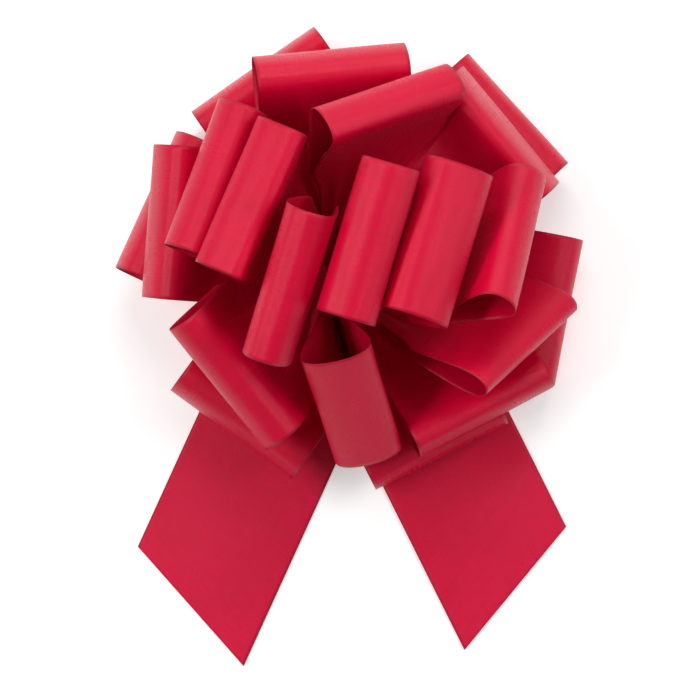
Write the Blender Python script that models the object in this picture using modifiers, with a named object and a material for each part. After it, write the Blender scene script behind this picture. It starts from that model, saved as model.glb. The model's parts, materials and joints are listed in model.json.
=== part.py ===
"""Pull-string gift bow: twenty ribbon loops and two tails gathered on a pair of pull ribbons.

The bow lies on a surface at z = 0, on the flat underside of its knot. Every loop and tail ends in a
round weld tab, and the tabs are threaded one above another on the pull ribbons, which run up the z axis.
Each loop and tail swivels about that axis.
"""

from math import cos, pi, radians, sin, tan

import bmesh
import bpy
import numpy as np

# The ribbon
RIBBON_WIDTH = 0.0635
RIBBON_THICKNESS = 0.00025
LOOP_RIBBON = 0.191  # the ribbon in one loop, between its two weld tabs
SHOULDER_RADIUS = 0.072  # how far from the axis the ribbon reaches its full width
GATHER = 2.0  # how sharply it draws in from its shoulder to its tab: 1 is a straight wedge
TURN_SHARE = 0.5  # the share of a loop's reach over which its ribbon turns square to the loop
CANT_SHARE = 0.6  # and the share over which its tip moves aside

# The weld tabs and their stack
TAB_RADIUS = 0.0065
TAB_HOLE_RADIUS = 0.0032
TAB_ROUNDING = (-0.92, -0.6, 0.0)  # where a tab's round end is drawn, in tab radii from the axis
TAB_PITCH = 0.00055
TAB_RUN = 0.008  # from the axis to where the ribbon of the topmost loop bends up out of its tab
TAB_RUN_STEP = 0.0006  # how much farther out each loop below it bends up

# The pull ribbons, their knot below and their anchor above
PULL_RIBBON_WIDTH = 0.0045
PULL_RIBBON_THICKNESS = 0.0003
PULL_RIBBON_SPACING = 0.0012
KNOT_RADIUS = 0.0075
KNOT_HEIGHT = 0.0045
ANCHOR_SIDE = 0.0095
ANCHOR_THICKNESS = 0.0006

# The tails, from the axis to the middle of their cut ends
TAIL_CUT = radians(24)
TAIL_DROP_RADIUS = 0.020  # where a tail starts down from the stack
TAIL_SETTLE_RADIUS = 0.045  # and where it has come down onto the surface

GAP = 0.0003

# How finely round pieces are drawn
LOOP_STEPS = 24
TAIL_STEPS = 5
HOLE_SEGMENTS = 12
KNOT_SEGMENTS = 16
BEVEL_SEGMENTS = 2

COLOURS = {
    "ribbon": (0.55, 0.006, 0.035),
    "tail": (0.60, 0.015, 0.055),
    "pull": (0.45, 0.004, 0.03),
}

# Each loop, from the bottom of the stack to its top, in degrees and metres. bearing is the heading that it
# leaves the stack on, rise its climb, lean its turn within its own plane, cant how far its tip is aside of
# square to its folds, depth half its greatest opening, and slimness how far out that opening sits.
LOOPS = (
    # name, bearing, rise, lean, cant, depth, slimness
    ("base_loop_1", 347, 6, 2, -4, 0.011, 3.0),
    ("base_loop_2", 163, 8, -1, 2, 0.014, 3.0),
    ("base_loop_3", 291, 6, 8, -4, 0.011, 4.5),
    ("base_loop_4", 44, 12, -1, -3, 0.012, 2.5),
    ("base_loop_5", 231, 13, 3, 3, 0.014, 3.0),
    ("base_loop_6", 121, 7, -1, -4, 0.016, 4.0),
    ("middle_loop_1", 279, 28, 31, 6, 0.007, 5.5),
    ("middle_loop_2", 101, 34, -6, 1, 0.011, 4.5),
    ("middle_loop_3", 175, 32, -2, -2, 0.012, 4.5),
    ("middle_loop_4", 43, 28, -4, -1, 0.009, 6.5),
    ("middle_loop_5", 218, 39, 3, 5, 0.013, 4.0),
    ("middle_loop_6", 278, 48, 48, 4, 0.008, 3.5),
    ("crown_loop_1", 175, 48, -16, -3, 0.011, 5.5),
    ("crown_loop_2", 119, 59, -26, -4, 0.009, 7.0),
    ("crown_loop_3", 333, 52, 25, 0, 0.009, 4.5),
    ("crown_loop_4", 132, 71, 10, -2, 0.007, 7.0),
    ("crown_loop_5", 197, 80, 48, 6, 0.014, 5.5),
    ("crown_loop_6", 342, 71, 6, 4, 0.014, 4.0),
    ("crown_loop_7", 133, 86, 17, 4, 0.008, 3.0),
    ("crown_loop_8", 344, 90, 1, 2, 0.011, 4.0),
)

# Each tail: its bearing in degrees, its length, and which of its edges is cut the longer
TAILS = (
    ("left_tail", 245.5, 0.167, 1),
    ("right_tail", 296.5, 0.161, -1),
)

def clear_scene():
    for obj in list(bpy.data.objects):
        bpy.data.objects.remove(obj, do_unlink=True)


def material(name, colour):
    made = bpy.data.materials.new(name)
    made.use_nodes = True
    shader = made.node_tree.nodes["Principled BSDF"]
    shader.inputs["Base Color"].default_value = (*colour, 1)
    shader.inputs["Roughness"].default_value = 0.4
    shader.inputs["Metallic"].default_value = 0
    return made


def collection(name):
    made = bpy.data.collections.new(name)
    bpy.context.scene.collection.children.link(made)
    return made


def add_object(name, mesh, parts, finish):
    obj = bpy.data.objects.new(name, mesh)
    parts.objects.link(obj)
    if finish:
        mesh.materials.append(finish)
    return obj


def finished_mesh(name, bm):
    mesh = bpy.data.meshes.new(name)
    bm.to_mesh(mesh)
    bm.free()
    return mesh


def cylinder_mesh(name, radius, height, segments):
    bm = bmesh.new()
    bmesh.ops.create_cone(
        bm, cap_ends=True, segments=segments, radius1=radius, radius2=radius, depth=height
    )
    return finished_mesh(name, bm)


def box_mesh(name, size):
    bm = bmesh.new()
    bmesh.ops.create_cube(bm, size=1)
    bmesh.ops.scale(bm, vec=size, verts=bm.verts)
    return finished_mesh(name, bm)


def strip_mesh(name, centres, rulings):
    """A ribbon one face wide: a flat grid whose two rows of points go to centres minus and plus rulings."""
    rows = len(centres)
    bm = bmesh.new()
    bmesh.ops.create_grid(bm, x_segments=1, y_segments=rows - 1, size=1)
    mesh = finished_mesh(name, bm)
    flat = np.empty(len(mesh.vertices) * 3)
    mesh.vertices.foreach_get("co", flat)
    flat = flat.reshape(-1, 3)
    row = np.rint((flat[:, 1] + 1) / 2 * (rows - 1)).astype(int)
    side = np.sign(flat[:, 0])[:, None]
    mesh.vertices.foreach_set("co", (centres[row] + side * rulings[row]).ravel())
    mesh.update()
    return mesh


def smooth(value):
    clipped = np.clip(value, 0, 1)
    return clipped * clipped * (3 - 2 * clipped)


def opening(share, slimness):
    """The teardrop: how open a loop is at each share of its reach, 1 where it is widest."""
    widest = slimness / (slimness + 0.5)
    return (share / widest) ** slimness * np.sqrt((1 - share) / (1 - widest))


def loop_shares():
    """Round the loop from one tab to the other: shares of its reach, and the side of each."""
    turn = np.linspace(-pi, pi, LOOP_STEPS + 1)
    return (1 + np.cos(turn)) / 2, np.sign(np.rint(turn / pi * LOOP_STEPS))


def loop_reach(run, depth, slimness):
    """How far a loop stands from its root, so that the ribbon in it has the length LOOP_RIBBON."""
    shares, sides = loop_shares()
    across = np.diff(sides * opening(shares, slimness)) * depth
    ribbon = LOOP_RIBBON - 2 * (run - TAB_RUN)
    low, high = ribbon / 4, ribbon / 2
    for _ in range(40):
        reach = (low + high) / 2
        length = np.hypot(np.diff(shares) * reach, across).sum()
        low, high = (reach, high) if length < ribbon else (low, reach)
    return reach


def ribbon_half_width(radius):
    """Half the ribbon's width: gathered at its tab, and full from the shoulder on."""
    grown = np.clip((radius - TAB_RUN) / (SHOULDER_RADIUS - TAB_RUN), 0, 1)
    return TAB_RADIUS + (RIBBON_WIDTH / 2 - TAB_RADIUS) * grown**GATHER


def tab_stations():
    """Distances along a tab from its round end to the axis, and its half width at each."""
    reach = np.array(TAB_ROUNDING) * TAB_RADIUS
    return reach, np.sqrt(TAB_RADIUS**2 - reach**2)


def heading(bearing):
    """The level unit vectors along a bearing in degrees, and to its left."""
    angle = radians(bearing)
    return np.array([cos(angle), sin(angle), 0]), np.array([-sin(angle), cos(angle), 0])


def tab_rows(height, ahead, left):
    reach, half = tab_stations()
    return reach[:, None] * ahead + [0, 0, height], half[:, None] * left


def loop_rows(height, run, bearing, rise, lean, cant, depth, slimness):
    """The ribbon's centre line and rulings, from the lower tab round the fold to the upper tab."""
    ahead, left = heading(bearing)
    up = np.array([0, 0, 1.0])
    rise, lean, cant = radians(rise), radians(lean), radians(cant)
    climb = cos(rise) * ahead + sin(rise) * up
    across = cos(rise) * up - sin(rise) * ahead
    out = cos(lean) * climb + sin(lean) * left
    aside = cos(lean) * left - sin(lean) * climb
    reach = loop_reach(run, depth, slimness)
    root = run * ahead + height * up
    shares, sides = loop_shares()
    shift = smooth(shares / CANT_SHARE) * reach * sin(cant)
    half_pitch = TAB_PITCH / 2
    spread = sides * (half_pitch + depth * opening(shares, slimness))
    centres = (
        root
        + shares[:, None] * reach * cos(cant) * out
        + shift[:, None] * aside
        + spread[:, None] * across
    )
    turned = smooth(shares / TURN_SHARE)[:, None]
    rulings = turned * aside + (1 - turned) * left
    rulings /= np.linalg.norm(rulings, axis=1)[:, None]
    rulings *= ribbon_half_width(run + shares * reach)[:, None]
    for row, side in ((0, -1), (-1, 1)):
        centres[row] = root + side * half_pitch * (up - tan(rise / 2) * ahead)
    lower, lower_rulings = tab_rows(height - half_pitch, ahead, left)
    upper, upper_rulings = tab_rows(height + half_pitch, ahead, left)
    return (
        np.concatenate([lower, centres, upper[::-1]]),
        np.concatenate([lower_rulings, rulings, upper_rulings[::-1]]),
    )


def tail_rows(height, resting, bearing, length, longer):
    """A tail's centre line and rulings, from its tab down to the surface and on to the slanting cut."""
    ahead, left = heading(bearing)
    sloping = np.linspace(TAIL_DROP_RADIUS, TAIL_SETTLE_RADIUS, TAIL_STEPS)
    run = np.concatenate([[TAB_RUN], sloping, [SHOULDER_RADIUS, length]])
    settled = smooth((run - TAIL_DROP_RADIUS) / (TAIL_SETTLE_RADIUS - TAIL_DROP_RADIUS))
    drop = height + (resting - height) * settled
    half = ribbon_half_width(run)
    centres = run[:, None] * ahead + drop[:, None] * np.array([0, 0, 1.0])
    rulings = half[:, None] * left
    rulings[-1] += longer * half[-1] * tan(TAIL_CUT) * ahead
    tab, tab_rulings = tab_rows(height, ahead, left)
    return np.concatenate([tab, centres]), np.concatenate([tab_rulings, rulings])


def add_ribbon(name, rows, parts, finish, hole):
    """A loop or a tail: a strip given its thickness, with the hole for the pull ribbons in its tabs."""
    obj = add_object(name, strip_mesh(name, *rows), parts, finish)
    wall = obj.modifiers.new("thickness", "SOLIDIFY")
    wall.thickness = RIBBON_THICKNESS
    wall.offset = 0
    cut = obj.modifiers.new("pull_ribbon_hole", "BOOLEAN")
    cut.operation = "DIFFERENCE"
    cut.object = hole
    obj.data.shade_smooth()


def add_hole_cutter(cutters, top):
    mesh = cylinder_mesh("pull_ribbon_hole", TAB_HOLE_RADIUS, top, HOLE_SEGMENTS)
    cutter = add_object("pull_ribbon_hole", mesh, cutters, None)
    cutter.location.z = top / 2
    cutter.hide_render = True
    cutter.display_type = "WIRE"
    return cutter


def add_box(name, size, centre, parts, finish):
    obj = add_object(name, box_mesh(name, size), parts, finish)
    obj.location = centre


def add_knot(parts, finish):
    """The knot in the pull ribbons, pressed flat where the bow stands on it."""
    mesh = cylinder_mesh("knot", KNOT_RADIUS, KNOT_HEIGHT, KNOT_SEGMENTS)
    obj = add_object("knot", mesh, parts, finish)
    obj.location.z = KNOT_HEIGHT / 2
    edge = obj.modifiers.new("edges", "BEVEL")
    edge.width = KNOT_HEIGHT / 4
    edge.segments = BEVEL_SEGMENTS


def add_pull_ribbons(stack_top, parts, finish):
    """The pull ribbons up through the tabs, with the knot under the bow and the anchor tab over it."""
    strand = stack_top - KNOT_HEIGHT - 2 * GAP
    size = (PULL_RIBBON_WIDTH, PULL_RIBBON_THICKNESS, strand)
    for name, side in (("pull_ribbon_1", -1), ("pull_ribbon_2", 1)):
        centre = (0, side * PULL_RIBBON_SPACING / 2, KNOT_HEIGHT + GAP + strand / 2)
        add_box(name, size, centre, parts, finish)
    anchor = (ANCHOR_SIDE, ANCHOR_SIDE, ANCHOR_THICKNESS)
    add_box("anchor_tab", anchor, (0, 0, stack_top + ANCHOR_THICKNESS / 2), parts, finish)
    add_knot(parts, finish)


def build_bow():
    parts = collection("gift_bow")
    cutters = collection("cutters")
    ribbon = material("ribbon", COLOURS["ribbon"])
    tail = material("tail", COLOURS["tail"])
    pull = material("pull_ribbon", COLOURS["pull"])
    tails_top = KNOT_HEIGHT + GAP + RIBBON_THICKNESS / 2 + len(TAILS) * TAB_PITCH
    stack_top = tails_top + 2 * len(LOOPS) * TAB_PITCH
    hole = add_hole_cutter(cutters, stack_top + TAB_PITCH)
    for index, (name, bearing, length, longer) in enumerate(TAILS):
        height = tails_top + (index - len(TAILS)) * TAB_PITCH
        resting = GAP + RIBBON_THICKNESS / 2 + index * TAB_PITCH
        add_ribbon(name, tail_rows(height, resting, bearing, length, longer), parts, tail, hole)
    for index, (name, *shape) in enumerate(LOOPS):
        height = tails_top + (2 * index + 0.5) * TAB_PITCH
        run = TAB_RUN + (len(LOOPS) - 1 - index) * TAB_RUN_STEP
        add_ribbon(name, loop_rows(height, run, *shape), parts, ribbon, hole)
    add_pull_ribbons(stack_top, parts, pull)


clear_scene()
build_bow()
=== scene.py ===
"""Looks of the pull-string gift bow: satin ribbon loops and tails, and the stack that they swivel on.

Every ribbon piece is worked out again as a fine surface from its CAD solid. A loop's own axes, reach and
opening are measured on the solid, turned and opened by its entry in FLUFFS, and drawn with the pleats of the
gathered neck and the slack of soft ribbon. The knot, pull ribbons and anchor tab fill their solids' boxes.
"""

import json
import logging
from dataclasses import dataclass, field, replace
from enum import Enum
from math import cos, pi, radians, sin, tan

import bmesh
import bpy
import numpy as np
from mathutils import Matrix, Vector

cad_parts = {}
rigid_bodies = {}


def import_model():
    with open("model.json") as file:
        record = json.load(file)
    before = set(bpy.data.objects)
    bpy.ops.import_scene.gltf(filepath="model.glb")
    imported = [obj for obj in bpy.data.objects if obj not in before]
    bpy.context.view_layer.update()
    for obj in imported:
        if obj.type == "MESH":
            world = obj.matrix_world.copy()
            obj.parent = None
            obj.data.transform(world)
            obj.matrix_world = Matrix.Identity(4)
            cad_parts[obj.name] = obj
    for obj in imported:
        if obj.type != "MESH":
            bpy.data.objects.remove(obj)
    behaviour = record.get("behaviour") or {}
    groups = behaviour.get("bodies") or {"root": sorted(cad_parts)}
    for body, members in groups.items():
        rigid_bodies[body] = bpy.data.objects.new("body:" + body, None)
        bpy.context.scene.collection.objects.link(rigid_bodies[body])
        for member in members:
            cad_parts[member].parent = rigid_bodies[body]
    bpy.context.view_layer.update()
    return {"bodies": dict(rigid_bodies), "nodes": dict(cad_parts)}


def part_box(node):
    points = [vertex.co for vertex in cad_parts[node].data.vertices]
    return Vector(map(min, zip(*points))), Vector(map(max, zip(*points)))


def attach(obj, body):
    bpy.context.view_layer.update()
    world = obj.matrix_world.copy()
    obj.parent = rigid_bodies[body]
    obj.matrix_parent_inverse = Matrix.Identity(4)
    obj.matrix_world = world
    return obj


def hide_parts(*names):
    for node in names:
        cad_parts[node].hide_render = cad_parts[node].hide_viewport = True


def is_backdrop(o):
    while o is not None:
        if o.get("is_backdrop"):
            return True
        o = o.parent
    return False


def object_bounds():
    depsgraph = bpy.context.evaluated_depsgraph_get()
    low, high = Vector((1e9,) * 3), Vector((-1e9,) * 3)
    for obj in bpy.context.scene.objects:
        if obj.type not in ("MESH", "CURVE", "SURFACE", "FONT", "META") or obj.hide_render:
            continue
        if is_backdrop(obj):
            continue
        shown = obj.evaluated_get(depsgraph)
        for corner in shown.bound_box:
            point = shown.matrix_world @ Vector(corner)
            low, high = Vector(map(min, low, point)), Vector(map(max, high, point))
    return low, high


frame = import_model()

UV_NAME = "ribbon"
SELVAGE_NAME = "selvage"
UP = np.array([0.0, 0.0, 1.0])
TINY = 1e-6

Triple = tuple[float, float, float]

log = logging.getLogger("gift_bow")


class Slot(Enum):
    """The record's material slots."""

    RIBBON = "ribbon"
    TAIL = "tail"
    PULL = "pull_ribbon"


def smooth(value: np.ndarray) -> np.ndarray:
    """Rises from 0 to 1 with level ends: 3x² − 2x³ of the value held to 0…1.

    Args:
        value: Any numbers.
    Returns:
        The eased numbers, in the same shape.
    """
    held = np.clip(value, 0, 1)
    return held * held * (3 - 2 * held)


def unit(vector: np.ndarray) -> np.ndarray:
    """The vectors along the last axis, at length 1."""
    return vector / np.linalg.norm(vector, axis=-1, keepdims=True)


@dataclass(frozen=True)
class Colour:
    """A colour in linear light."""

    red: float
    green: float
    blue: float

    def rgba(self) -> tuple[float, float, float, float]:
        """The colour with full opacity, as sockets take it."""
        return self.red, self.green, self.blue, 1.0


class Graph:
    """A material's node tree, with short ways to add and join its nodes."""

    def __init__(self, name: str) -> None:
        """Starts a material.

        Args:
            name: The material's name.
        """
        self.material = bpy.data.materials.new(name)
        self.material.use_nodes = True
        self.tree = self.material.node_tree
        self.shader = self.tree.nodes["Principled BSDF"]

    def node(self, kind: str, **settings: object) -> bpy.types.Node:
        """Adds a node.

        Args:
            kind: The node's type, without the words ShaderNode.
            **settings: Its properties.
        Returns:
            The node.
        """
        made = self.tree.nodes.new("ShaderNode" + kind)
        for key, value in settings.items():
            setattr(made, key, value)
        return made

    def feed(self, socket: bpy.types.NodeSocket, value: object) -> None:
        """Gives a socket its value: a number, or another node's output.

        Args:
            socket: The input.
            value: What it takes.
        """
        if isinstance(value, bpy.types.NodeSocket):
            self.tree.links.new(value, socket)
        else:
            socket.default_value = value

    def calc(self, operation: str, first: object, second: object = 0.0) -> bpy.types.NodeSocket:
        """Works out one number from two.

        Args:
            operation: The Math node's operation.
            first: A number or an output.
            second: Another.
        Returns:
            The result's output.
        """
        made = self.node("Math", operation=operation)
        self.feed(made.inputs[0], first)
        self.feed(made.inputs[1], second)
        return made.outputs[0]

    def noise(self, place: object, scale: Triple, detail: float) -> bpy.types.NodeSocket:
        """Soft noise with its own scale along each axis.

        Args:
            place: The coordinates' output.
            scale: How many grains there are in one unit along each axis.
            detail: How many finer layers it has.
        Returns:
            The noise's output, about 0.5 on average.
        """
        mapping = self.node("Mapping")
        self.feed(mapping.inputs["Vector"], place)
        mapping.inputs["Scale"].default_value = scale
        made = self.node("TexNoise")
        self.feed(made.inputs["Vector"], mapping.outputs[0])
        made.inputs["Scale"].default_value = 1.0
        made.inputs["Detail"].default_value = detail
        return made.outputs["Fac"]

    def threads(self, distance: object, pitch: float) -> bpy.types.NodeSocket:
        """Round threads lying side by side: the sine of the distance, once a pitch.

        Args:
            distance: The distance across the threads, in metres.
            pitch: From one thread to the next, in metres.
        Returns:
            The threads' height, −1 to 1.
        """
        return self.calc("SINE", self.calc("MULTIPLY", distance, 2 * pi / pitch))

    def ramp(
        self, value: object, low: tuple[float, Colour], high: tuple[float, Colour]
    ) -> bpy.types.NodeSocket:
        """A colour between two, by a number.

        Args:
            value: The number.
            low: The number and the colour at the low end.
            high: The number and the colour at the high end.
        Returns:
            The colour's output.
        """
        made = self.node("ValToRGB")
        self.feed(made.inputs[0], value)
        for element, (place, colour) in zip(made.color_ramp.elements, (low, high)):
            element.position = place
            element.color = colour.rgba()
        return made.outputs[0]

    def mix(self, share: object, first: object, second: object) -> bpy.types.NodeSocket:
        """A blend of two colours.

        Args:
            share: How much of the second.
            first: A colour or an output.
            second: Another.
        Returns:
            The blend's output.
        """
        made = self.node("Mix", data_type="RGBA")
        self.feed(made.inputs["Factor"], share)
        colours = [socket for socket in made.inputs if socket.type == "RGBA"]
        self.feed(colours[0], first)
        self.feed(colours[1], second)
        return next(socket for socket in made.outputs if socket.type == "RGBA")


@dataclass(frozen=True)
class SatinFinish:
    """Woven satin ribbon: fine threads, faint streaks along the length, and a firmer selvage."""

    name: str
    deep: Colour
    bright: Colour
    selvage: Colour
    roughness: float = 0.28
    roughness_spread: float = 0.10
    specular: float = 0.26
    sheen: float = 0.05
    sheen_roughness: float = 0.35
    sheen_tint: Colour = Colour(1.0, 0.30, 0.42)
    warp_pitch: float = 0.00042
    weft_pitch: float = 0.00034
    weave_depth: float = 0.000012
    slack_depth: float = 0.00022
    selvage_share: float = 0.55
    streak_scale: Triple = (22.0, 900.0, 1.0)
    slub_scale: Triple = (700.0, 60.0, 1.0)
    cloud_scale: Triple = (38.0, 38.0, 38.0)
    slack_scale: Triple = (60.0, 25.0, 1.0)
    streak_share: float = 0.35
    slub_share: float = 0.35
    cloud_share: float = 0.30
    deep_tone: float = 0.36
    bright_tone: float = 0.64

    def material(self) -> bpy.types.Material:
        """Builds the material. The weave follows the ribbon's UV map, which is in metres."""
        graph = Graph(self.name)
        uv = graph.node("UVMap", uv_map=UV_NAME).outputs[0]
        spread = graph.node("SeparateXYZ")
        graph.feed(spread.inputs[0], uv)
        along, over = spread.outputs[0], spread.outputs[1]
        place = graph.node("TexCoord").outputs["Object"]
        streaks = graph.noise(uv, self.streak_scale, 3.0)
        slubs = graph.noise(uv, self.slub_scale, 2.0)
        cloud = graph.noise(place, self.cloud_scale, 2.0)
        threads = graph.calc("MULTIPLY", streaks, self.streak_share)
        tone = graph.calc("ADD", threads, graph.calc("MULTIPLY", slubs, self.slub_share))
        tone = graph.calc("ADD", tone, graph.calc("MULTIPLY", cloud, self.cloud_share))
        cloth = graph.ramp(tone, (self.deep_tone, self.deep), (self.bright_tone, self.bright))
        edge = graph.node("Attribute", attribute_name=SELVAGE_NAME).outputs["Fac"]
        worn = graph.calc("MULTIPLY", edge, graph.calc("ADD", slubs, self.selvage_share - 0.5))
        graph.feed(graph.shader.inputs["Base Color"], graph.mix(worn, cloth, self.selvage.rgba()))
        rough = graph.calc("MULTIPLY_ADD", tone, -self.roughness_spread)
        rough.node.inputs[2].default_value = self.roughness + self.roughness_spread / 2
        graph.feed(graph.shader.inputs["Roughness"], rough)
        graph.shader.inputs["Specular IOR Level"].default_value = self.specular
        graph.shader.inputs["Sheen Weight"].default_value = self.sheen
        graph.shader.inputs["Sheen Roughness"].default_value = self.sheen_roughness
        graph.shader.inputs["Sheen Tint"].default_value = self.sheen_tint.rgba()
        warp = graph.threads(over, self.warp_pitch)
        weft = graph.threads(along, self.weft_pitch)
        weave = graph.calc("MULTIPLY", graph.calc("ADD", warp, weft), self.weave_depth)
        slack = graph.calc("MULTIPLY", graph.noise(uv, self.slack_scale, 1.0), self.slack_depth)
        relief = graph.node("Bump")
        relief.inputs["Distance"].default_value = 1.0
        relief.inputs["Strength"].default_value = 1.0
        graph.feed(relief.inputs["Height"], graph.calc("ADD", weave, slack))
        graph.feed(graph.shader.inputs["Normal"], relief.outputs[0])
        return graph.material


LOOP_SATIN = SatinFinish(
    name="red_satin",
    deep=Colour(0.60, 0.0005, 0.030),
    bright=Colour(0.70, 0.0014, 0.042),
    selvage=Colour(0.34, 0.004, 0.020),
)
# The tails' satin is a lighter, bluer copy of the loop satin: painted light, standing in for the full light
# on the tails that lie flat under the lamps.
TAIL_SATIN_PAINTED_LIGHT = SatinFinish(
    name="red_satin_tail_painted_light",
    deep=Colour(0.64, 0.0016, 0.040),
    bright=Colour(0.74, 0.0030, 0.052),
    selvage=Colour(0.34, 0.004, 0.020),
)
PULL_SATIN = SatinFinish(
    name="red_pull_ribbon",
    deep=Colour(0.40, 0.003, 0.022),
    bright=Colour(0.52, 0.006, 0.036),
    selvage=Colour(0.30, 0.003, 0.018),
    warp_pitch=0.00030,
    weft_pitch=0.00030,
)


@dataclass
class Ribbon:
    """The ribbon that the bow is made of, and how its surface is drawn."""

    width: float = 0.0635
    thickness: float = 0.00025
    tab_radius: float = 0.0065
    hole_radius: float = 0.0032
    tab_run: float = 0.008
    shoulder_radius: float = 0.062
    gather: float = 1.4
    turn_share: float = 0.5
    cant_share: float = 0.6
    tab_rounding: float = 0.92
    selvage_width: float = 0.0007
    columns: int = 40
    tab_rows: int = 18

    def half_width(self, radius: np.ndarray) -> np.ndarray:
        """Half the width at each distance from the axis: the tab's, growing to the full one by a power law.

        Args:
            radius: Distances from the axis.
        Returns:
            Half widths.
        """
        grown = np.clip((radius - self.tab_run) / (self.shoulder_radius - self.tab_run), 0, 1)
        return self.tab_radius + (self.width / 2 - self.tab_radius) * grown**self.gather

    def tab(self) -> tuple[np.ndarray, np.ndarray]:
        """The round end of a tab, up to the axis.

        Returns:
            Distances along the tab from its end to the axis, and the half width at each: a circle's.
        """
        reach = -self.tab_rounding * self.tab_radius * np.cos(np.linspace(0, pi / 2, self.tab_rows))
        return reach, np.sqrt(self.tab_radius**2 - reach**2)

    def piece(self, name: str, grid: np.ndarray, finish: bpy.types.Material) -> bpy.types.Object:
        """Makes a grid of points into a ribbon piece, with its hole, thickness, UV map and selvage.

        The UV map holds the distance along the middle of the ribbon and the distance across it, in metres.

        Args:
            name: The piece's name.
            grid: The points, one row across the ribbon after another.
            finish: Its material.
        Returns:
            The piece.
        """
        rows, columns = grid.shape[:2]
        middle = grid[:, columns // 2]
        along = np.concatenate([[0], np.cumsum(np.linalg.norm(np.diff(middle, axis=0), axis=1))])
        across = np.linalg.norm(grid - middle[:, None], axis=2) * np.sign(np.arange(columns) - columns // 2)
        uv = np.stack([np.broadcast_to(along[:, None], (rows, columns)), across], axis=2)
        to_edge = np.abs(across).max(axis=1, keepdims=True) - np.abs(across)
        selvage = 1 - smooth(to_edge / self.selvage_width)
        points, inside = self.with_hole(grid)
        corner = np.arange(rows * columns).reshape(rows, columns)
        faces = np.stack([corner[:-1, :-1], corner[1:, :-1], corner[1:, 1:], corner[:-1, 1:]], axis=2)
        faces = faces.reshape(-1, 4)
        faces = faces[~inside.ravel()[faces].all(axis=1)]
        used, faces = np.unique(faces, return_inverse=True)
        mesh = bpy.data.meshes.new(name)
        mesh.from_pydata(points.reshape(-1, 3)[used], [], faces.reshape(-1, 4))
        layer = mesh.uv_layers.new(name=UV_NAME)
        corners = np.empty(len(mesh.loops), int)
        mesh.loops.foreach_get("vertex_index", corners)
        layer.data.foreach_set("uv", uv.reshape(-1, 2)[used][corners].ravel())
        edge = mesh.attributes.new(SELVAGE_NAME, "FLOAT", "POINT")
        edge.data.foreach_set("value", selvage.ravel()[used])
        mesh.materials.append(finish)
        mesh.shade_smooth()
        made = bpy.data.objects.new(name, mesh)
        bpy.context.scene.collection.objects.link(made)
        wall = made.modifiers.new("thickness", "SOLIDIFY")
        wall.thickness = self.thickness
        wall.offset = 0
        return made

    def cut_area(self, grid: np.ndarray) -> float:
        """The cloth that the gathers leave flat: each row's width times the step along the middle, summed.

        Args:
            grid: The ribbon's points.
        Returns:
            The area in square metres.
        """
        widths = np.linalg.norm(grid[:, -1] - grid[:, 0], axis=1)
        middle = grid[:, grid.shape[1] // 2]
        steps = np.linalg.norm(np.diff(middle, axis=0), axis=1)
        return float((steps * (widths[1:] + widths[:-1]) / 2).sum())

    def with_hole(self, grid: np.ndarray) -> tuple[np.ndarray, np.ndarray]:
        """Pushes the tabs' points inside the pull ribbons' hole out to its rim, away from the axis.

        A crown loop's fold passes over the axis too, far above its tabs, and has no hole.

        Args:
            grid: The ribbon's points.
        Returns:
            The new points, and which of them lay inside the hole.
        """
        radius = np.hypot(grid[..., 0], grid[..., 1])
        inside = (radius < self.hole_radius) & (np.abs(grid[..., 2] - grid[0, 0, 2]) < self.tab_radius)
        push = np.where(inside, self.hole_radius / np.maximum(radius, TINY), 1.0)
        moved = grid.copy()
        moved[..., :2] *= push[..., None]
        return moved, inside


@dataclass
class Solid:
    """The faces of one CAD node, for measuring."""

    points: np.ndarray
    centres: np.ndarray
    areas: np.ndarray
    normals: np.ndarray

    @classmethod
    def of(cls, node: str) -> "Solid":
        """Reads a node's triangles.

        Args:
            node: The node's name.
        Returns:
            Its points, and each triangle's centre, area and normal.
        """
        mesh = frame["nodes"][node].data
        points = np.empty(len(mesh.vertices) * 3)
        mesh.vertices.foreach_get("co", points)
        points = points.reshape(-1, 3)
        mesh.calc_loop_triangles()
        corners = np.empty(len(mesh.loop_triangles) * 3, int)
        mesh.loop_triangles.foreach_get("vertices", corners)
        first, second, third = points[corners.reshape(-1, 3)].transpose(1, 0, 2)
        cross = np.cross(second - first, third - first)
        double = np.linalg.norm(cross, axis=1)
        sound = double > 0
        centres = (first + second + third)[sound] / 3
        return cls(points, centres, double[sound] / 2, cross[sound] / double[sound, None])


@dataclass(frozen=True)
class Fluff:
    """How far soft ribbon has been teased away from where its stiff solid stands.

    The first four are in degrees: swing about the axis, lift from the surface, lean to the side, and the
    fold's skew. Fullness is the new opening's share of the old one.
    """

    swing: float = 0.0
    lift: float = 0.0
    lean: float = 0.0
    skew: float = 0.0
    fullness: float = 1.0


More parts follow.
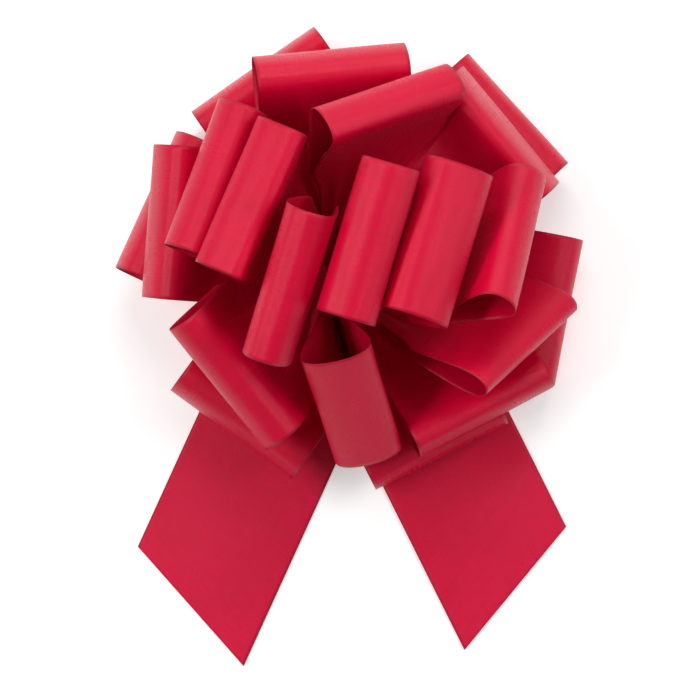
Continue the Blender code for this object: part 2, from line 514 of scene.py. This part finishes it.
FLUFFS: dict[str, Fluff] = {
    "base_loop_1": Fluff(swing=1.8, lift=0.2, lean=-2.0, skew=-0.4, fullness=0.86),
    "base_loop_2": Fluff(swing=6.7, lift=4.7, lean=-13.2, skew=6.0, fullness=1.05),
    "base_loop_3": Fluff(swing=-2.4, lift=-0.4, lean=0.5, skew=2.9, fullness=0.98),
    "base_loop_4": Fluff(swing=0.9, lift=-8.5, lean=-1.1, skew=0.6, fullness=0.93),
    "base_loop_5": Fluff(swing=-5.8, lift=1.8, lean=5.9, skew=1.6, fullness=0.94),
    "base_loop_6": Fluff(swing=-3.8, lift=-1.2, lean=8.6, skew=-3.0, fullness=0.94),
    "middle_loop_1": Fluff(swing=4.7, lift=-3.2, lean=-16.3, skew=7.9, fullness=1.13),
    "middle_loop_2": Fluff(swing=5.6, lift=0.1, lean=-6.1, skew=-0.1, fullness=0.94),
    "middle_loop_3": Fluff(swing=-3.2, lift=-0.7, lean=5.7, skew=-2.5, fullness=1.00),
    "middle_loop_4": Fluff(swing=3.6, lift=-7.9, lean=-3.0, skew=-1.0, fullness=1.54),
    "middle_loop_5": Fluff(swing=-10.1, lift=4.3, lean=11.7, skew=-2.0, fullness=0.75),
    "middle_loop_6": Fluff(swing=-2.8, lift=0.6, lean=-0.3, skew=2.8, fullness=0.72),
    "crown_loop_1": Fluff(swing=-11.7, lift=1.5, lean=10.3, skew=0.1, fullness=0.89),
    "crown_loop_2": Fluff(swing=5.1, lift=5.1, lean=-1.3, skew=-3.2, fullness=0.94),
    "crown_loop_3": Fluff(swing=-10.3, lift=2.6, lean=11.1, skew=-2.9, fullness=0.98),
    "crown_loop_4": Fluff(swing=25.1, lift=-6.8, lean=-11.7, skew=1.6, fullness=1.56),
    "crown_loop_5": Fluff(swing=-3.8, lift=5.5, lean=-3.6, skew=2.9, fullness=1.00),
    "crown_loop_6": Fluff(swing=-0.8, lift=0.6, lean=-0.6, skew=0.6, fullness=1.00),
    "crown_loop_7": Fluff(swing=27.8, lift=-3.4, lean=-3.9, skew=-1.7, fullness=1.21),
    "crown_loop_8": Fluff(swing=-0.5, lift=1.4, lean=-2.8, skew=2.6, fullness=1.06),
}


@dataclass(frozen=True)
class Measuring:
    """The settings of the measurements that are taken on a loop's solid."""

    tab_core: float = 0.7
    outer_share: float = 0.6
    passes: int = 3
    body_from: float = 0.25
    body_to: float = 0.995
    slimnesses: tuple[float, float, int] = (2, 9, 141)
    length_steps: int = 97
    stretch_limits: tuple[float, float] = (0.5, 1.5)
    halvings: int = 30


MEASURING = Measuring()


@dataclass
class LoopForm:
    """Where a loop stands and how it opens, in the axes of its own plane."""

    height: float
    half_pitch: float
    run: float
    rise: float
    ahead: np.ndarray
    left: np.ndarray
    out: np.ndarray
    aside: np.ndarray
    across: np.ndarray
    reach: float
    shift: float
    depth: float
    slimness: float

    @classmethod
    def of(cls, node: str, ribbon: Ribbon) -> "LoopForm":
        """Measures a loop on its CAD solid.

        Beyond its neck the loop is a bent sheet, so no face there looks along its rulings, and the two sides
        mirror each other. The area-weighted sum of the normals' outer products therefore has the rulings,
        the way out and the way across as its axes, from the smallest sum to the largest. The way ahead
        always leads from the axis to the root, which settles the way across of a loop that stands upright.

        Args:
            node: The CAD node's name.
            ribbon: The ribbon's sizes.
        Returns:
            The loop's form.
        """
        solid = Solid.of(node)
        near = np.hypot(solid.points[:, 0], solid.points[:, 1]) < ribbon.tab_radius * MEASURING.tab_core
        low, high = solid.points[near, 2].min(), solid.points[near, 2].max()
        height = (low + high) / 2
        middle = height * UP
        away = np.linalg.norm(solid.centres - middle, axis=1)
        for _ in range(MEASURING.passes):
            outer = away > MEASURING.outer_share * away.max()
            weighted = solid.normals[outer] * solid.areas[outer, None]
            _, axes = np.linalg.eigh(weighted.T @ solid.normals[outer])
            out = axes[:, 1] * np.sign(axes[:, 1] @ (solid.centres[outer].mean(axis=0) - middle))
            across = axes[:, 2] * np.sign(axes[2, 2])
            away = (solid.centres - middle) @ out
        aside = np.cross(across, out)
        rise = np.arctan2(np.hypot(*across[:2]), across[2])
        ahead = unit(-across * [1, 1, 0])
        offset = np.average(solid.centres[outer] @ across, weights=solid.areas[outer])
        run = (height * cos(rise) - offset) / sin(rise)
        if run < 0:
            run, rise, ahead, across, aside = -run, pi - rise, -ahead, -across, -aside
        left = np.cross(UP, ahead)
        local = solid.points - run * ahead - middle
        along = local @ out
        reach = along.max() - ribbon.thickness / 2
        tip = along > along.max() - ribbon.thickness / 4
        half_pitch = (high - low - ribbon.thickness) / 2
        form = cls(
            height, half_pitch, run, rise, ahead, left, out, aside, across, reach,
            shift=(local[tip] @ aside).mean(), depth=0.0, slimness=0.0,
        )
        return form.fitted(along / reach, np.abs(local @ across) - half_pitch)

    def fitted(self, share: np.ndarray, gap: np.ndarray) -> "LoopForm":
        """Sets the depth and slimness that the solid's points fit best, by least squares.

        Args:
            share: Each point's share of the reach.
            gap: Its distance from the middle plane.
        Returns:
            The form itself.
        """
        body = (share > MEASURING.body_from) & (share < MEASURING.body_to)
        best = np.inf
        for slimness in np.linspace(*MEASURING.slimnesses):
            shape = self.opening(share[body], slimness)
            depth = (shape @ gap[body]) / (shape @ shape)
            error = np.square(gap[body] - depth * shape).sum()
            if error < best:
                best, self.depth, self.slimness = error, depth, slimness
        return self

    def fluffed(self, fluff: Fluff) -> "LoopForm":
        """Turns the form about its root and opens it further, with the ribbon's length kept.

        Args:
            fluff: How far it goes.
        Returns:
            The new form.
        """
        climb = cos(self.rise) * self.ahead + sin(self.rise) * UP
        lean = np.arctan2(self.out @ self.left, self.out @ climb) + radians(fluff.lean)
        bearing = np.arctan2(self.ahead[1], self.ahead[0]) + radians(fluff.swing)
        rise = self.rise + radians(fluff.lift)
        ahead = np.array([cos(bearing), sin(bearing), 0.0])
        left = np.cross(UP, ahead)
        climb = cos(rise) * ahead + sin(rise) * UP
        total = np.hypot(self.reach, self.shift) * self.stretch(fluff.fullness)
        cant = np.arctan2(self.shift, self.reach) + radians(fluff.skew)
        return replace(
            self, rise=rise, ahead=ahead, left=left, across=cos(rise) * UP - sin(rise) * ahead,
            out=cos(lean) * climb + sin(lean) * left, aside=cos(lean) * left - sin(lean) * climb,
            reach=total * cos(cant), shift=total * sin(cant), depth=self.depth * fluff.fullness,
        )

    def stretch(self, fullness: float) -> float:
        """The share of its old reach that a fuller loop keeps, so that the way round it stays as long.

        Args:
            fullness: The new depth's share of the old one.
        Returns:
            The share, found by halving.
        """
        turn = np.linspace(-pi, pi, MEASURING.length_steps)
        share = (1 + np.cos(turn)) / 2
        along = np.diff(share) * np.hypot(self.reach, self.shift)
        across = np.diff(np.sign(turn) * self.opening(share, self.slimness)) * self.depth
        length = np.hypot(along, across).sum()
        low, high = MEASURING.stretch_limits
        for _ in range(MEASURING.halvings):
            middle = (low + high) / 2
            short = np.hypot(along * middle, across * fullness).sum() < length
            low, high = (middle, high) if short else (low, middle)
        return low

    @staticmethod
    def opening(share: np.ndarray, slimness: float) -> np.ndarray:
        """The teardrop: share^slimness · √(1 − share), scaled to 1 at its widest.

        Args:
            share: Shares of the reach.
            slimness: How far out the widest place sits.
        Returns:
            The opening at each share.
        """
        widest = slimness / (slimness + 0.5)
        held = np.clip(share, 0, 1)
        return (held / widest) ** slimness * np.sqrt((1 - held) / (1 - widest))


@dataclass
class Loop:
    """One loop of ribbon, from its lower tab round the fold to its upper tab."""

    node: str
    seed: int
    ribbon: Ribbon
    steps: int = 150
    pleats: int = 5
    pleat_depth: float = 0.0007
    pleat_wander: float = 2.0
    pleat_turn: float = 3.0
    slack: float = 0.00030
    slack_waves: float = 1.5
    ribbon_length: float = 0.204

    def rows(self, form: LoopForm) -> tuple[np.ndarray, np.ndarray, np.ndarray]:
        """The middle of the ribbon and its rulings.

        Round the loop the share of the reach is (1 + cos turn)/2, so the points crowd at the fold and at the
        tabs. The middle goes out by that share, and off the middle plane by the teardrop. A ruling turns from
        level to the loop's own way across within the neck.

        Args:
            form: The loop's form.
        Returns:
            Middles, rulings of half the width, and how far each row has grown out of the neck, 0 to 1.
        """
        turn = np.linspace(-pi, pi, self.steps + 1)
        share, side = (1 + np.cos(turn)) / 2, np.sign(turn)
        side[[0, -1]] = -1, 1
        side[self.steps // 2] = 0
        root = form.run * form.ahead + form.height * UP
        spread = side * (form.half_pitch + form.depth * form.opening(share, form.slimness))
        aside = smooth(share / self.ribbon.cant_share) * form.shift
        middles = root + np.outer(share * form.reach, form.out)
        middles += np.outer(aside, form.aside) + np.outer(spread, form.across)
        bend = form.half_pitch * (UP - tan(form.rise / 2) * form.ahead)
        middles[0], middles[-1] = root - bend, root + bend
        turned = smooth(share / self.ribbon.turn_share)[:, None]
        rulings = unit(turned * form.aside + (1 - turned) * form.left)
        radius = form.run + share * np.hypot(form.reach, form.shift)
        half = self.ribbon.half_width(radius)
        grown = smooth((half - self.ribbon.tab_radius) / (self.ribbon.width / 2 - self.ribbon.tab_radius))
        return middles, rulings * half[:, None], grown

    def grid(self, form: LoopForm) -> np.ndarray:
        """The loop's points: middle + place across · ruling, with the tabs' round ends before and after.

        Args:
            form: The loop's form.
        Returns:
            Rows of points.
        """
        middles, rulings, grown = self.rows(form)
        reach, half = self.ribbon.tab()
        tab = np.outer(reach, form.ahead)
        level = np.outer(half, form.left)
        lift = form.half_pitch * UP
        middle = form.height * UP
        middles = np.concatenate([tab + middle - lift, middles, tab[::-1] + middle + lift])
        rulings = np.concatenate([level, rulings, level[::-1]])
        flat = np.zeros(len(reach))
        grown = np.concatenate([flat, grown, flat])
        place = np.linspace(-1, 1, self.ribbon.columns + 1)
        grid = middles[:, None] + place[None, :, None] * rulings[:, None]
        return grid + self.relief(grid, grown, place)

    def relief(self, grid: np.ndarray, grown: np.ndarray, place: np.ndarray) -> np.ndarray:
        """The pleats of the neck and the slack of the free ribbon, as moves along the surface's normal.

        Pleats are waves across the ribbon, deepest half-way out of the neck, as grown·(1 − grown). Slack is
        a slow wave along the ribbon that grows towards the selvages, as the square of the place across.

        Args:
            grid: The smooth surface.
            grown: How far each row is out of the neck.
            place: Each column's place across, −1 to 1.
        Returns:
            The moves.
        """
        random = np.random.default_rng(self.seed)
        phase, drift, slow = random.uniform(0, 2 * pi, 3)
        along = np.linspace(0, 1, len(grid))
        wander = self.pleat_wander * np.sin(self.pleat_turn * along[:, None] + drift)
        wave = np.sin(pi * self.pleats * place[None, :] + phase + wander)
        depth = self.pleat_depth * 4 * grown * (1 - grown)
        swell = 2 * pi * self.slack_waves * along[:, None]
        ripple = np.sin(swell + slow + place[None, :]) * place[None, :] ** 2
        move = depth[:, None] * wave + self.slack * grown[:, None] * ripple
        normal = unit(np.cross(np.gradient(grid, axis=0), np.gradient(grid, axis=1)))
        return move[..., None] * normal

    def build(self, finish: bpy.types.Material) -> bpy.types.Object:
        """Makes the loop, in place of its CAD node.

        Args:
            finish: Its material.
        Returns:
            The piece.
        """
        form = LoopForm.of(self.node, self.ribbon).fluffed(FLUFFS.get(self.node, Fluff()))
        grid = self.grid(form)
        made = self.ribbon.piece(self.node + "_ribbon", grid, finish)
        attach(made, self.node)
        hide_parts(self.node)
        flat, area = (self.ribbon.width, self.ribbon_length), self.ribbon.cut_area(grid)
        return made


@dataclass
class Tail:
    """One tail: from its tab in the stack down to the surface, and along it to the slanting cut."""

    node: str
    ribbon: Ribbon
    steps: int = 150
    drop_radius: float = 0.020
    settle_radius: float = 0.045
    settled_share: float = 1.1
    cut_share: float = 1.25
    cut_radius: float = 0.1

    def corners(self, points: np.ndarray, radius: np.ndarray) -> tuple[np.ndarray, np.ndarray]:
        """The two ends of the slanting cut.

        The long corner is the farthest point from the axis. The short one is the farthest of those that lie
        between one ribbon width and cut_share of it from the long one.

        Args:
            points: The solid's points.
            radius: Their distances from the axis.
        Returns:
            The long and the short corner.
        """
        long_corner = points[radius.argmax()]
        apart = np.linalg.norm((points - long_corner)[:, :2], axis=1)
        width = self.ribbon.width
        cut = (apart > width) & (apart < width * self.cut_share) & (radius > self.cut_radius)
        return long_corner, points[cut][radius[cut].argmax()]

    def grid(self) -> tuple[np.ndarray, float]:
        """The tail's points, measured on its CAD solid.

        It heads for the middle of the cut, and its rulings are square to that, sheared towards the cut's
        slant beyond the shoulder. Its height eases from the tab's to the surface's.

        Returns:
            Rows of points, and the length from the axis to the middle of the cut.
        """
        solid = Solid.of(self.node)
        radius = np.hypot(solid.points[:, 0], solid.points[:, 1])
        height = solid.points[radius < self.ribbon.tab_radius, 2].mean()
        floor = solid.points[radius > self.settle_radius * self.settled_share, 2].mean()
        long_corner, short_corner = self.corners(solid.points, radius)
        end = (long_corner + short_corner) / 2 * [1, 1, 0]
        length = np.linalg.norm(end)
        ahead = end / length
        left = np.cross(UP, ahead)
        slant = (long_corner - short_corner) / 2
        slant *= np.sign(slant @ left)
        run = np.concatenate([[self.ribbon.tab_run], np.linspace(self.drop_radius, length, self.steps)])
        settled = smooth((run - self.drop_radius) / (self.settle_radius - self.drop_radius))
        middles = np.outer(run, ahead) + np.outer(height + (floor - height) * settled, UP)
        rulings = np.outer(self.ribbon.half_width(run), left)
        sheared = smooth((run - self.ribbon.shoulder_radius) / (length - self.ribbon.shoulder_radius))
        rulings += np.outer(sheared * (slant @ ahead), ahead)
        reach, half = self.ribbon.tab()
        middles = np.concatenate([np.outer(reach, ahead) + height * UP, middles])
        rulings = np.concatenate([np.outer(half, left), rulings])
        place = np.linspace(-1, 1, self.ribbon.columns + 1)
        grid = middles[:, None] + place[None, :, None] * rulings[:, None]
        return grid, length

    def build(self, finish: bpy.types.Material) -> bpy.types.Object:
        """Makes the tail, in place of its CAD node.

        Args:
            finish: Its material.
        Returns:
            The piece.
        """
        grid, length = self.grid()
        made = self.ribbon.piece(self.node + "_ribbon", grid, finish)
        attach(made, self.node)
        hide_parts(self.node)
        flat, area = (self.ribbon.width, length + self.ribbon.tab_radius), self.ribbon.cut_area(grid)
        return made


def closed_tube(name: str, grid: np.ndarray, finish: bpy.types.Material, ends: bool) -> bpy.types.Object:
    """Makes rings of points into a closed solid: each ring joins on to the next, all the way round.

    Args:
        name: The piece's name.
        grid: The rings, one row each.
        finish: The material.
        ends: Whether the first and last rings are capped. If not, the last ring joins the first.
    Returns:
        The piece, with its selvage attribute and a UV map of distances in metres.
    """
    rings, sides = grid.shape[:2]
    corner = np.arange(rings * sides).reshape(rings, sides)
    beside = np.roll(corner, -1, axis=1)
    spans = rings - 1 if ends else rings
    after, after_beside = np.roll(corner, -1, axis=0), np.roll(beside, -1, axis=0)
    faces = np.stack([corner, beside, after_beside, after], axis=2)[:spans].reshape(-1, 4).tolist()
    if ends:
        faces += [corner[0, ::-1].tolist(), corner[-1].tolist()]
    steps = np.linalg.norm(np.diff(grid, axis=0), axis=2).mean(axis=1)
    along = np.concatenate([[0], np.cumsum(steps)])
    round_it = np.linalg.norm(grid - np.roll(grid, 1, axis=1), axis=2).cumsum(axis=1)
    uv = np.stack([np.broadcast_to(along[:, None], (rings, sides)), round_it], axis=2)
    mesh = bpy.data.meshes.new(name)
    mesh.from_pydata(grid.reshape(-1, 3), [], faces)
    corners = np.empty(len(mesh.loops), int)
    mesh.loops.foreach_get("vertex_index", corners)
    mesh.uv_layers.new(name=UV_NAME).data.foreach_set("uv", uv.reshape(-1, 2)[corners].ravel())
    mesh.attributes.new(SELVAGE_NAME, "FLOAT", "POINT")
    mesh.materials.append(finish)
    mesh.shade_smooth()
    tidy = bmesh.new()
    tidy.from_mesh(mesh)
    bmesh.ops.recalc_face_normals(tidy, faces=tidy.faces)
    tidy.to_mesh(mesh)
    tidy.free()
    made = bpy.data.objects.new(name, mesh)
    bpy.context.scene.collection.objects.link(made)
    return made


@dataclass
class Stack:
    """What holds the bow together: the pull ribbons, the knot under them and the anchor tab over them."""

    knot_steps: int = 220
    knot_creases: int = 11
    crease_depth: float = 0.06
    strand_sides: int = 20
    strand_width: float = 0.0031
    strand_thickness: float = 0.0011
    strand_wave: float = 0.00012
    strand_waves: int = 3
    strand_rows: int = 90
    tab_dimple: float = 0.00012
    tab_dimple_pitch: float = 0.0014
    tab_cells: int = 60
    tab_rim: float = 0.08

    def build(self) -> None:
        """Builds the stack's pieces in place of their CAD nodes."""
        finish = PULL_SATIN.material()
        pieces = [self.knot(finish), self.anchor(finish)]
        pieces += [self.strand(node, finish) for node in ("pull_ribbon_1", "pull_ribbon_2")]
        for made, node in zip(pieces, ("knot", "anchor_tab", "pull_ribbon_1", "pull_ribbon_2")):
            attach(made, "stack")
            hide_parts(node)
            log.info("%s: %d faces", made.name, len(made.data.polygons))

    def knot(self, finish: bpy.types.Material) -> bpy.types.Object:
        """An overhand knot, pulled tight and pressed flat.

        Its path is a trefoil: x = sin t + 2 sin 2t, y = cos t − 2 cos 2t, z = −sin 3t, scaled to the
        node's box. Its section is a flat oval across the path, and what would pass the box is pressed flat.

        Args:
            finish: The material.
        Returns:
            The piece.
        """
        low, high = (np.array(corner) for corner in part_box("knot"))
        middle, size = (low + high) / 2, (high - low) / 2
        turn = np.linspace(0, 2 * pi, self.knot_steps, endpoint=False)
        path = np.stack([
            np.sin(turn) + 2 * np.sin(2 * turn),
            np.cos(turn) - 2 * np.cos(2 * turn),
            -np.sin(3 * turn),
        ], axis=1)
        room = size - [self.strand_width / 2, self.strand_width / 2, self.strand_thickness]
        path = middle + path / [3, 3, 1] * room
        ahead = unit(np.roll(path, -1, axis=0) - np.roll(path, 1, axis=0))
        wide = unit(np.cross(UP, ahead))
        thick = np.cross(ahead, wide)
        angle = np.linspace(0, 2 * pi, self.strand_sides, endpoint=False)
        across = np.cos(angle)[None, :, None] * wide[:, None] * self.strand_width / 2
        over = np.sin(angle)[None, :, None] * thick[:, None] * self.strand_thickness
        crease = 1 + self.crease_depth * np.sin(self.knot_creases * turn)[:, None, None]
        grid = np.clip(path[:, None] + across * crease + over, low, high)
        return closed_tube("knot_tied", grid, finish, ends=False)

    def strand(self, node: str, finish: bpy.types.Material) -> bpy.types.Object:
        """One narrow pull ribbon through the tabs: its box's section carried up, with a slow wave.

        Args:
            node: The CAD node.
            finish: The material.
        Returns:
            The piece.
        """
        low, high = (np.array(corner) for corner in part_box(node))
        middle, half = (low + high) / 2, (high - low) / 2
        rise = np.linspace(low[2], high[2], self.strand_rows)
        share = np.linspace(0, 1, self.strand_rows)
        sway = self.strand_wave * np.sin(2 * pi * self.strand_waves * share) * np.sin(pi * share)
        place = np.linspace(-1, 1, self.strand_sides)
        outline = np.concatenate([
            np.stack([place * half[0], np.full(len(place), half[1])], axis=1),
            np.stack([place[::-1] * half[0], np.full(len(place), -half[1])], axis=1),
        ])
        grid = np.empty((self.strand_rows, len(outline), 3))
        grid[..., 0] = middle[0] + outline[None, :, 0]
        grid[..., 1] = middle[1] + outline[None, :, 1] + sway[:, None]
        grid[..., 2] = rise[:, None]
        return closed_tube(node + "_strand", grid, finish, ends=True)

    def anchor(self, finish: bpy.types.Material) -> bpy.types.Object:
        """The welded square over the stack, with the weld's rows of dimples on both faces.

        Its height is the box's, less a dimple of cos² along both sides wherever a row crosses another.

        Args:
            finish: The material.
        Returns:
            The piece.
        """
        low, high = (np.array(corner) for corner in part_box("anchor_tab"))
        side = np.linspace(0, 1, self.tab_cells)
        along, over = np.meshgrid(side, side, indexing="ij")
        size = high - low
        waves = [np.cos(pi * share * length / self.tab_dimple_pitch) ** 2
                 for share, length in ((along, size[0]), (over, size[1]))]
        rim = np.minimum(np.minimum(along, 1 - along), np.minimum(over, 1 - over))
        dip = self.tab_dimple * waves[0] * waves[1] * smooth(rim / self.tab_rim)
        flat = [low[0] + along * size[0], low[1] + over * size[1]]
        rows = np.stack([
            np.stack([*flat, low[2] + dip], axis=2), np.stack([*flat, high[2] - dip], axis=2),
        ])
        grid = np.concatenate([rows[0], rows[1][:, ::-1]], axis=1)
        return closed_tube("anchor_tab_weld", grid, finish, ends=True)


@dataclass
class Bow:
    """All the ribbon of the bow."""

    ribbon: Ribbon = field(default_factory=Ribbon)

    def build(self) -> None:
        """Builds every loop and tail from the frame's own list of bodies."""
        # The tails take the lighter copy of the satin, which is painted light.
        satin, tail_satin_painted_light = LOOP_SATIN.material(), TAIL_SATIN_PAINTED_LIGHT.material()
        loops = [name for name in frame["bodies"] if "loop" in name]
        for seed, name in enumerate(loops):
            made = Loop(name, seed, self.ribbon).build(satin)
            log.info("%s: %d faces", made.name, len(made.data.polygons))
        for name in [name for name in frame["bodies"] if "tail" in name]:
            made = Tail(name, self.ribbon).build(tail_satin_painted_light)
            log.info("%s: %d faces", made.name, len(made.data.polygons))


@dataclass(frozen=True)
class Softbox:
    """A rectangular soft light that looks at the bow: place and sides in metres, power in watts."""

    name: str
    place: Triple
    size: tuple[float, float]
    power: float

    def build(self) -> None:
        """Puts the light in the scene."""
        light = bpy.data.lights.new(self.name, "AREA")
        light.shape = "RECTANGLE"
        light.size, light.size_y = self.size
        light.energy = self.power
        lamp = bpy.data.objects.new(self.name, light)
        bpy.context.scene.collection.objects.link(lamp)
        lamp.location = self.place
        low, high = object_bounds()
        lamp.rotation_euler = ((low + high) / 2 - lamp.location).to_track_quat("-Z", "Y").to_euler()


SOFTBOXES = (
    Softbox("left", (-0.75, 0.05, 1.05), (0.9, 0.20), 7.3),
    Softbox("right", (0.80, 0.15, 0.95), (0.9, 0.20), 4.4),
    Softbox("top", (0.05, 0.95, 0.90), (0.9, 0.30), 6.6),
)


@dataclass
class Studio:
    """The pale floor, the soft lights and the camera straight above."""

    floor_side: float = 6.0
    floor_drop: float = 0.0002
    floor_roughness: float = 0.9
    floor_tone: float = 0.93
    floor_glow: float = 0.34
    world_tone: float = 0.95
    world_strength: float = 0.26
    camera_height: float = 1.13
    camera_back: float = 0.0405
    view_width: float = 0.3045
    sensor: float = 36.0

    def build(self) -> None:
        """Sets up everything that isn't the bow."""
        self.floor()
        self.world()
        for softbox in SOFTBOXES:
            softbox.build()
        self.camera()
        bpy.context.scene.view_settings.view_transform = "Standard"
        bpy.context.scene.view_settings.look = "None"

    def floor(self) -> None:
        """A plain pale floor just under the bow."""
        graph = Graph("pale_floor")
        graph.shader.inputs["Base Color"].default_value = (self.floor_tone,) * 3 + (1,)
        graph.shader.inputs["Roughness"].default_value = self.floor_roughness
        graph.shader.inputs["Emission Color"].default_value = (1, 1, 1, 1)
        graph.shader.inputs["Emission Strength"].default_value = self.floor_glow
        half = self.floor_side / 2
        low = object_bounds()[0].z - self.floor_drop
        mesh = bpy.data.meshes.new("floor")
        corners = [(-half, -half, low), (half, -half, low), (half, half, low), (-half, half, low)]
        mesh.from_pydata(corners, [], [(0, 1, 2, 3)])
        mesh.materials.append(graph.material)
        floor = bpy.data.objects.new("floor", mesh)
        bpy.context.scene.collection.objects.link(floor)
        floor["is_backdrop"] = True

    def world(self) -> None:
        """Even pale light from all round."""
        world = bpy.data.worlds.new("studio")
        world.use_nodes = True
        sky = world.node_tree.nodes["Background"]
        sky.inputs["Color"].default_value = (self.world_tone,) * 3 + (1,)
        sky.inputs["Strength"].default_value = self.world_strength
        bpy.context.scene.world = world

    def camera(self) -> None:
        """A long lens straight above, whose view is view_width wide at the surface."""
        data = bpy.data.cameras.new("camera")
        data.sensor_width = self.sensor
        data.lens = self.sensor * self.camera_height / self.view_width
        camera = bpy.data.objects.new("camera", data)
        camera.location = (0, -self.camera_back, self.camera_height)
        bpy.context.scene.collection.objects.link(camera)
        bpy.context.scene.camera = camera


def main() -> None:
    """Builds the bow and the studio in order."""
    logging.basicConfig(level=logging.INFO, format="%(message)s")
    Bow().build()
    Stack().build()
    Studio().build()


if __name__ == "__main__":
    main()
